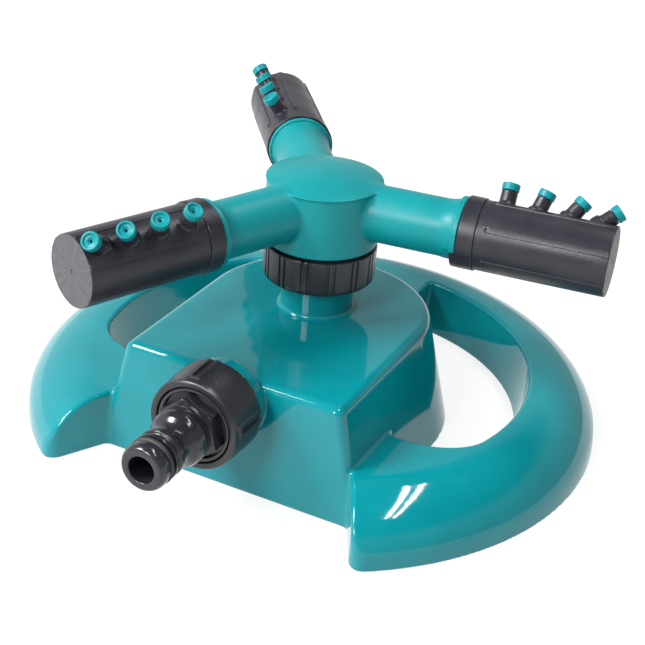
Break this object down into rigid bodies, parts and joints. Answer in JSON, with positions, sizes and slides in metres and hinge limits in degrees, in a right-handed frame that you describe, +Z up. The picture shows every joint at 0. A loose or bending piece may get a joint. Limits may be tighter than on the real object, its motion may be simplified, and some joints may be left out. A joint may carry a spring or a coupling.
{
  "type": "lawn sprinkler",
  "caption": "Rotary lawn sprinkler: a ring base with a raised housing and hose inlet carries a spinning hub whose hollow arms end in twistable spray heads.",
  "frame": {"origin": "middle of the part's floor rectangle, on the floor the base stands on", "axes": "+Z up along the rotor's axis, -Y along the hose inlet towards its nose, +X to the right seen from behind the inlet looking along +Y"},
  "size_m": [0.23, 0.2436, 0.1087],
  "materials": {
    "shell_plastic": "glossy moulded ABS",
    "nozzle_plastic": "glossy moulded plastic",
    "fitting_plastic": "satin moulded plastic",
    "pipe_plastic": "plain moulded plastic",
    "bearing_plastic": "natural acetal",
    "seal_rubber": "nitrile rubber",
    "screw_steel": "zinc plated"
  },
  "bodies": {
    "base": {"base_shell": "shell_plastic", "feed_elbow": "pipe_plastic", "plate_screw_1": "screw_steel", "plate_screw_2": "screw_steel", "plate_screw_3": "screw_steel", "plate_screw_4": "screw_steel", "plate_seal": "seal_rubber", "mouth_seal": "seal_rubber", "hose_adapter": "fitting_plastic", "nose_ring": "seal_rubber", "inlet_washer": "seal_rubber", "riser_spigot": "bearing_plastic"},
    "union": {"union_nut": "fitting_plastic"},
    "rotor": {"rotor_hub": "shell_plastic", "rotor_nut": "fitting_plastic", "lower_slip_washer": "bearing_plastic", "upper_slip_washer": "bearing_plastic", "rotor_seal": "seal_rubber", "head_seal_1": "seal_rubber", "head_seal_2": "seal_rubber", "head_seal_3": "seal_rubber"},
    "head_1": {"spray_head_1": "fitting_plastic", "nozzle_cap_1_1": "nozzle_plastic", "nozzle_cap_1_2": "nozzle_plastic", "nozzle_cap_1_3": "nozzle_plastic", "nozzle_cap_1_4": "nozzle_plastic"},
    "head_2": {"spray_head_2": "fitting_plastic", "nozzle_cap_2_1": "nozzle_plastic", "nozzle_cap_2_2": "nozzle_plastic", "nozzle_cap_2_3": "nozzle_plastic", "nozzle_cap_2_4": "nozzle_plastic"},
    "head_3": {"spray_head_3": "fitting_plastic", "nozzle_cap_3_1": "nozzle_plastic", "nozzle_cap_3_2": "nozzle_plastic", "nozzle_cap_3_3": "nozzle_plastic", "nozzle_cap_3_4": "nozzle_plastic"}
  },
  "joints": [
    {"name": "rotor_spin", "type": "hinge", "parent": "base", "child": "rotor", "pos_m": [0, 0.0034, 0.0896], "axis": [0, 0, 1], "continuous": true},
    {"name": "union_nut_turn", "type": "hinge", "parent": "base", "child": "union", "pos_m": [0, -0.0799, 0.0381], "axis": [0, -1, 0], "range_deg": [0, 60]},
    {"name": "head_1_twist", "type": "hinge", "parent": "rotor", "child": "head_1", "pos_m": [0, 0.0034, 0.0896], "axis": [0.9925, 0.1219, 0], "range_deg": [0, 34]},
    {"name": "head_2_twist", "type": "hinge", "parent": "rotor", "child": "head_2", "pos_m": [0, 0.0034, 0.0896], "axis": [-0.6018, 0.7986, 0], "range_deg": [0, 34]},
    {"name": "head_3_twist", "type": "hinge", "parent": "rotor", "child": "head_3", "pos_m": [0, 0.0034, 0.0896], "axis": [-0.3907, -0.9205, 0], "range_deg": [0, 34]}
  ]
}
